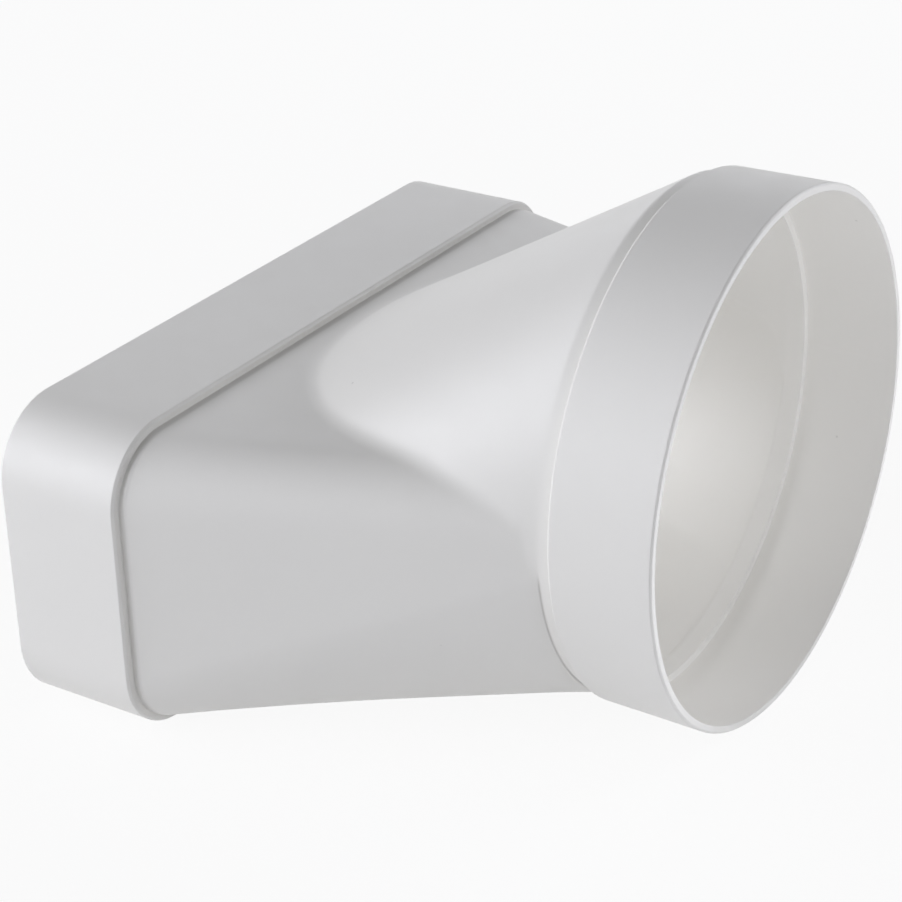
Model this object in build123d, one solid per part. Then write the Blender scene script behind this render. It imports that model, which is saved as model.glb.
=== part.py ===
from build123d import *
import math
import os

# Flat duct that slides into the rectangular socket (outside sizes) and the gap left all round it.
duct_width = 222.0
duct_height = 89.0
duct_corner = 19.3
duct_gap = 0.5
duct_depth = 38.0

# Round pipe that slides into the round socket (outside size) and the gap left all round it.
pipe_diameter = 150.0
pipe_gap = 0.25
pipe_depth = 29.0

# Moulded shell: the wall, the ledges that stop the duct and the pipe, and the eased edges.
wall = 2.2
stop_step = 2.4
stop_thickness = 2.0
overall_length = 185.0
round_collar_draft = 0.5
rim_chamfer = 0.5
rect_back_chamfer = 0.7
round_back_chamfer = 0.75

# Transition: a flat-topped box that narrows to the pipe, with a round hood rising out of its top.
root_length = 2.0
neck_length = 4.0
hood_side_inset = 21.3
hood_drop = 3.3
box_side_inset = 0.75
box_belly_lap = 0.2
crease_radius = 6.0

# Inside of the two sockets and outside of the two collars.
socket_half_w = duct_width / 2 + duct_gap
socket_half_h = duct_height / 2 + duct_gap
socket_corner = duct_corner + duct_gap
pipe_r = pipe_diameter / 2 + pipe_gap
collar_r = pipe_r + wall

# Outside of the transition where it leaves each collar.
box_half_w = socket_half_w - stop_step + wall
box_half_h = socket_half_h - stop_step + wall
box_corner = socket_corner - stop_step + wall
throat_r = pipe_r - stop_step + wall

# Stations along the duct, and the two centre lines: both collars lie flush on the ground.
x_rect = -overall_length / 2
x_duct_stop = x_rect + duct_depth
x_rect_back = x_duct_stop + stop_thickness
x_root = x_rect_back + root_length
x_round = overall_length / 2
x_pipe_stop = x_round - pipe_depth
x_round_back = x_pipe_stop - stop_thickness
x_neck = x_round_back - neck_length
rect_z = socket_half_h + wall
round_z = collar_r


def across(x, z, y=0.0):
    """Plane square to the duct at x, its own axes along Y and Z, its origin at (y, z)."""
    return Plane((x, y, z), x_dir=(0, 1, 0), z_dir=(1, 0, 0))


def arc(x, y, z, r, start, end):
    """Arc about (y, z) in the plane at x, between two angles in degrees from +Y."""
    return Edge.make_circle(r, across(x, z, y), start, end)


def corner(x, y, z, r, start, end):
    """The same arc in six equal parts, which keeps the lofted corner in narrow strips."""
    part = (end - start) / 6
    return [arc(x, y, z, r, start + n * part, start + (n + 1) * part) for n in range(6)]


def joined(arcs):
    """Closed wire through arcs given in order, with a straight edge across each gap."""
    edges = []
    for one, two in zip(arcs, arcs[1:] + arcs[:1]):
        edges.append(one)
        if (one @ 1 - two @ 0).length > 1e-6:
            edges.append(Edge.make_line(one @ 1, two @ 0))
    return Wire(edges)


def rounded_rect(x, half_w, half_h, r):
    """Rounded rectangle in the plane at x, about the flat duct's centre line."""
    w = half_w - r
    h = half_h - r
    return joined([
        *corner(x, w, rect_z + h, r, 0, 90),
        *corner(x, -w, rect_z + h, r, 90, 180),
        *corner(x, -w, rect_z - h, r, 180, 270),
        *corner(x, w, rect_z - h, r, 270, 360),
    ])


def box_end(x, inset):
    """The box's section at the neck: a round belly, and corners rounded from pipe centre to flat top."""
    r = rect_z + box_half_h - round_z - inset
    w = throat_r - box_side_inset - inset - r
    z = rect_z + box_half_h - inset - r
    belly = throat_r + box_belly_lap - inset
    low = math.degrees(math.acos((w + r) / belly))
    return joined([
        *corner(x, w, z, r, 0, 90),
        *corner(x, -w, z, r, 90, 180),
        *corner(x, 0, round_z, belly, 180 + low, 235),
        arc(x, 0, round_z, belly, 235, 305),
        *corner(x, 0, round_z, belly, 305, 360 - low),
    ])


def passage(inset, crease_radius):
    """The transition with its faces moved inward by inset, run on to both stop ledges."""
    start = rounded_rect(x_root, box_half_w - inset, box_half_h - inset, box_corner - inset)
    box = Solid.make_loft([start, box_end(x_neck, inset)], True)
    hood_w = box_half_w - hood_side_inset - inset
    hood_h = box_half_h - hood_drop - inset
    oval = Wire(Edge.make_ellipse(hood_w, hood_h, across(x_root, rect_z), -90, 270))
    ring = Wire(Edge.make_circle(throat_r - inset, across(x_neck, round_z), -90, 270))
    hood = Solid.make_loft([oval, ring], True)
    body = box + hood
    if crease_radius:
        body = fillet(new_edges(box, hood, combined=body), crease_radius)
    root = extrude(Face(start), x_root - x_duct_stop, (-1, 0, 0))
    neck = extrude(Face(ring), x_pipe_stop - x_neck, (1, 0, 0))
    return body + root + neck


def end_edges(solid, side):
    """Edges round the solid's flat end: side 0 towards the flat duct, -1 towards the pipe."""
    return solid.faces().sort_by(Axis.X)[side].edges()


# Collars, eased at the rim and at the back.
rect_face = Face(rounded_rect(x_rect, socket_half_w + wall, socket_half_h + wall, socket_corner + wall))
rect_collar = extrude(rect_face, x_rect_back - x_rect, (1, 0, 0))
rect_collar = chamfer(end_edges(rect_collar, 0), rim_chamfer)
rect_collar = chamfer(end_edges(rect_collar, -1), rect_back_chamfer)
collar_back = across(x_round_back, round_z)
round_collar = Solid.make_cone(collar_r - round_collar_draft, collar_r, x_round - x_round_back, collar_back)
round_collar = chamfer(end_edges(round_collar, -1), rim_chamfer)
round_collar = chamfer(end_edges(round_collar, 0), round_back_chamfer)

# Outside skin, then the sockets and the way through taken out of it.
outside = passage(0.0, crease_radius) + rect_collar + round_collar
socket_face = Face(rounded_rect(x_rect, socket_half_w, socket_half_h, socket_corner))
rect_socket = extrude(socket_face, duct_depth, (1, 0, 0))
round_socket = Solid.make_cylinder(pipe_r, pipe_depth, across(x_pipe_stop, round_z))
duct_adapter = outside - (passage(wall, 0.0) + rect_socket + round_socket)

os.makedirs("parts", exist_ok=True)
export_step(duct_adapter, "parts/duct_adapter.step")
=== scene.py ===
import bpy
import numpy as np
from mathutils import Matrix, Vector


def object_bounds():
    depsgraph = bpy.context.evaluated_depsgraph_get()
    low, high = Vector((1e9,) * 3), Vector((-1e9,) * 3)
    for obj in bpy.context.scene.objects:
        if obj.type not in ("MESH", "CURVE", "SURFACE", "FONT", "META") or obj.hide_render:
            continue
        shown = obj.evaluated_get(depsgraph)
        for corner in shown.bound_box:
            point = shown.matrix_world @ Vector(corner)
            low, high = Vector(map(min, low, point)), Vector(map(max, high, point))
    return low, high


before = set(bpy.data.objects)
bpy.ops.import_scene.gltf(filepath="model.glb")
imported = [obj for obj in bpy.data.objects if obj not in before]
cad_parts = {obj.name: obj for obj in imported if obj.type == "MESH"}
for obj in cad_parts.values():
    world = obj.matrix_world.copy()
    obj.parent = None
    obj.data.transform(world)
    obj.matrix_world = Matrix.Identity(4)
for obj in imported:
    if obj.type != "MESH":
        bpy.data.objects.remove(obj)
size_at_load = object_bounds()


# The adapter is one thin shell of white PVC, injection moulded in one shot and taken from
# the mould as it is, with nothing fixed to it. The flat duct and the round pipe are pushed
# into its two collars.
def linear(code):
    """Linear colour of an sRGB hex value: each channel through the sRGB curve backwards."""
    srgb = np.array([int(code[i:i + 2], 16) for i in (1, 3, 5)]) / 255
    low, high = srgb / 12.92, ((srgb + 0.055) / 1.055) ** 2.4
    return (*np.where(srgb <= 0.04045, low, high).tolist(), 1.0)


def put(tree, kind, inputs=None, **settings):
    """Adds one shader node, with its settings, and fills its sockets: a socket of another
    node is linked, anything else is set as the value."""
    made = tree.nodes.new("ShaderNode" + kind)
    for name, value in settings.items():
        setattr(made, name, value)
    for name, value in (inputs or {}).items():
        if isinstance(value, bpy.types.NodeSocket):
            tree.links.new(value, made.inputs[name])
        else:
            made.inputs[name].default_value = value
    return made


# The two collars' lengths from the ends of the duct, and the places a millimetre behind them.
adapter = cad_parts["duct_adapter"]
(flat_end, _, _), (round_end, _, _) = size_at_load
flat_collar, round_collar = 0.040, 0.031
clear = 0.001
behind_flat = flat_end + flat_collar + clear
behind_round = round_end - round_collar - clear

# Rigid PVC with a white pigment, from a lightly blasted mould: an even, faintly warm white with
# wide soft highlights and no glints.
plastic = bpy.data.materials.new("moulded_white_pvc")
plastic.use_nodes = True
tree = plastic.node_tree
tree.nodes.clear()
place = put(tree, "TexCoord").outputs["Object"]
along = put(tree, "SeparateXYZ", {0: place}).outputs["X"]

# Cooling leaves cloudy patches 45 mm wide, a shade darker or lighter than the rest.
cloud = put(tree, "TexNoise", {"Vector": place, "Scale": 1 / 0.045, "Detail": 3.0, "Roughness": 0.5})
body = put(tree, "Mix", {0: cloud.outputs["Fac"], 6: linear("#EFEDE8"), 7: linear("#F1EFEA")},
           data_type="RGBA")

# Handling leaves dust specks under a millimetre wide, in about one in four of the 11 mm cells.
dust = put(tree, "TexVoronoi", {"Vector": place, "Scale": 1 / 0.011, "Randomness": 1.0})
speck = put(tree, "MapRange", {0: dust.outputs["Distance"], 1: 0.02, 2: 0.05, 3: 0.35, 4: 0.0})
chosen = put(tree, "SeparateColor", {0: dust.outputs["Color"]})
few = put(tree, "Math", {0: chosen.outputs["Red"], 1: 0.72}, operation="GREATER_THAN")
fleck = put(tree, "Math", {0: speck.outputs[0], 1: few.outputs[0]}, operation="MULTIPLY")

# Painted shade: the corner behind the flat duct's collar, where the groove lies in shade, is darkened with
# the dust colour over a band 2 to 3 mm wide.
from_corner = put(tree, "Math", {0: along, 1: behind_flat}, operation="SUBTRACT")
off_corner = put(tree, "Math", {0: from_corner.outputs[0]}, operation="ABSOLUTE")
painted_corner_shade = put(tree, "MapRange", {0: off_corner.outputs[0], 1: 0.0008, 2: 0.0018, 3: 0.26, 4: 0.0})
# The real dust specks and the painted corner shade darken the colour together, whichever is stronger.
specks_and_painted_shade = put(tree, "Math", {0: fleck.outputs[0], 1: painted_corner_shade.outputs[0]}, operation="MAXIMUM")
colour = put(tree, "Mix", {0: specks_and_painted_shade.outputs[0], 6: body.outputs[2], 7: linear("#A9A7A2")},
             data_type="RGBA")

# The satin of the mould wanders over 6 mm.
sheen = put(tree, "TexNoise", {"Vector": place, "Scale": 1 / 0.006, "Detail": 2.0})
satin = put(tree, "MapRange", {0: sheen.outputs["Fac"], 1: 0.3, 2: 0.7, 3: 0.40, 4: 0.47})

# The mould eases the edges: by half a millimetre at the collars, and by 4 mm along the folds of
# the transition between them, so the radius grows away from each collar's back.
fine, soft = 0.0005, 0.004
past_flat = put(tree, "MapRange", {0: along, 1: behind_flat, 2: behind_flat + 0.0075, 3: fine, 4: soft})
before_round = put(tree, "MapRange", {0: along, 1: behind_round, 2: behind_round - 0.006, 3: fine, 4: soft})
easing = put(tree, "Math", {0: past_flat.outputs[0], 1: before_round.outputs[0]}, operation="MINIMUM")
eased = put(tree, "Bevel", {"Radius": easing.outputs[0]}, samples=8)

# The thin wall sinks faintly every 22 mm as it cools, and over that lies the grain of the blasted
# mould, drawn 0.7 mm wide so that it shows.
sink = put(tree, "TexNoise", {"Vector": place, "Scale": 1 / 0.022, "Detail": 1.0})
wavy = put(tree, "Bump", {"Strength": 0.35, "Distance": 0.0005, "Height": sink.outputs["Fac"],
                          "Normal": eased.outputs[0]})
grain = put(tree, "TexNoise", {"Vector": place, "Scale": 1 / 0.0007, "Detail": 2.0})
blasted = put(tree, "Bump", {"Strength": 0.12, "Distance": 0.00008, "Height": grain.outputs["Fac"],
                             "Normal": wavy.outputs[0]})
shell = put(tree, "BsdfPrincipled", {
    "Base Color": colour.outputs[2], "Roughness": satin.outputs[0], "Normal": blasted.outputs[0],
    "IOR": 1.53, "Specular IOR Level": 0.5})
put(tree, "OutputMaterial", {"Surface": shell.outputs[0]})
adapter.data.materials.clear()
adapter.data.materials.append(plastic)


# The floor is a sheet of white paper rolled out far past the view. Uncoated paper is matt, so it
# mirrors nothing and shows only the soft shadow under the adapter.
half = 4.0
paper = bpy.data.meshes.new("paper_floor")
paper.from_pydata([(-half, -half, 0), (half, -half, 0), (half, half, 0), (-half, half, 0)],
                  [], [(0, 1, 2, 3)])
floor = bpy.data.objects.new("paper_floor", paper)
bpy.context.scene.collection.objects.link(floor)
white_paper = bpy.data.materials.new("white_paper")
white_paper.use_nodes = True
tree = white_paper.node_tree
tree.nodes.clear()


def looked_at(tree):
    """1 where a surface is seen by the camera, in a reflection or through glass, 0 where it
    only sends light on."""
    ray = put(tree, "LightPath").outputs
    seen = put(tree, "Math", {0: ray["Is Camera Ray"], 1: ray["Is Glossy Ray"]}, operation="MAXIMUM")
    seen = put(tree, "Math", {0: seen.outputs[0], 1: ray["Is Transmission Ray"]}, operation="MAXIMUM")
    return seen.outputs[0]


# The paper is seen nearly white by itself, and the rest of it takes the lamps and the shadow.
lifted = put(tree, "Math", {0: looked_at(tree), 1: 0.92}, operation="MULTIPLY")
matt = put(tree, "BsdfDiffuse", {"Color": linear("#F4F4F4")})
glow = put(tree, "Emission", {"Color": linear("#FFFFFF"), "Strength": 1.0})
both = put(tree, "MixShader", {0: lifted.outputs[0], 1: matt.outputs[0], 2: glow.outputs[0]})
put(tree, "OutputMaterial", {"Surface": both.outputs[0]})
paper.materials.append(white_paper)


# The studio's lamps are soft boxes and white cards on stands, most of them 1.6 m away. The
# strongest stands low at the front left, others before the mouth and behind. A small card on the
# floor and a small hooded lamp above it light the inside of the mouth.
def soft_box(name, place, target, size, watts, spread=np.pi):
    """Rectangular lamp at place that faces target, size metres wide and high, with a beam
    spread radians wide. Its light is a faintly blue white, as from a flash tube."""
    lamp = bpy.data.lights.new(name, "AREA")
    lamp.shape = "RECTANGLE"
    lamp.size, lamp.size_y = size
    lamp.energy = watts
    lamp.spread = spread
    lamp.color = linear("#F6F8FF")[:3]
    box = bpy.data.objects.new(name, lamp)
    box.location = place
    box.rotation_euler = (Vector(target) - Vector(place)).to_track_quat("-Z", "Y").to_euler()
    bpy.context.scene.collection.objects.link(box)


middle = (0, 0, 0.07)
soft_box("left_soft_box", (-1.17, -1.01, 0.48), middle, (1.4, 0.9), 13.5)
soft_box("left_high_card", (-1.20, -0.69, 0.87), middle, (1.2, 1.2), 8.2)
soft_box("front_card", (-0.38, -1.43, 0.67), middle, (0.8, 0.8), 1.1)
soft_box("front_right_card", (0.99, -1.18, 0.48), middle, (0.8, 0.8), 3.9)
soft_box("mouth_card", (1.51, -0.21, 0.56), middle, (0.8, 0.5), 4.2)
soft_box("back_right_soft_box", (0.82, 1.26, 0.62), middle, (1.0, 0.6), 9.5)
soft_box("back_left_card", (-0.38, 0.65, 0.34), middle, (0.6, 0.4), 0.6)
soft_box("floor_card", (0.21, 0.02, 0.004), (0.21, 0.02, 1.0), (0.16, 0.20), 0.13)
mouth_bottom = (0.07, -0.01, 0.01)
soft_box("hooded_lamp", (0.30, 0.06, 0.28), mouth_bottom, (0.08, 0.08), 0.007, spread=0.75)


# The room's walls are painted nearly as white as the paper, so the line where they meet is faint.
# They are only looked at and mirrored, and light nothing.
room = bpy.data.worlds.new("white_room")
bpy.context.scene.world = room
room.use_nodes = True
tree = room.node_tree
tree.nodes.clear()
walls = put(tree, "Background", {"Color": linear("#F6F6F6"), "Strength": looked_at(tree)})
put(tree, "OutputWorld", {"Surface": walls.outputs[0]})
bpy.context.scene.view_settings.view_transform = "Standard"


# The camera stands in front of the adapter, to the right and above, and looks down into the round
# mouth. Its lens is long, so the far collar hardly shrinks.
lens = bpy.data.cameras.new("camera")
lens.lens = 101.08
lens.sensor_width = 36.0
lens.clip_start, lens.clip_end = 0.01, 50.0
camera = bpy.data.objects.new("camera", lens)
ahead = Vector((-0.489, 0.748, -0.449)).normalized()
right = ahead.cross(Vector((-0.223, 0.390, 0.893))).normalized()
up = right.cross(ahead)
turn = Matrix((right, up, -ahead)).transposed().to_4x4()
camera.matrix_world = Matrix.Translation((0.3546, -0.5687, 0.3947)) @ turn
bpy.context.scene.collection.objects.link(camera)
bpy.context.scene.camera = camera
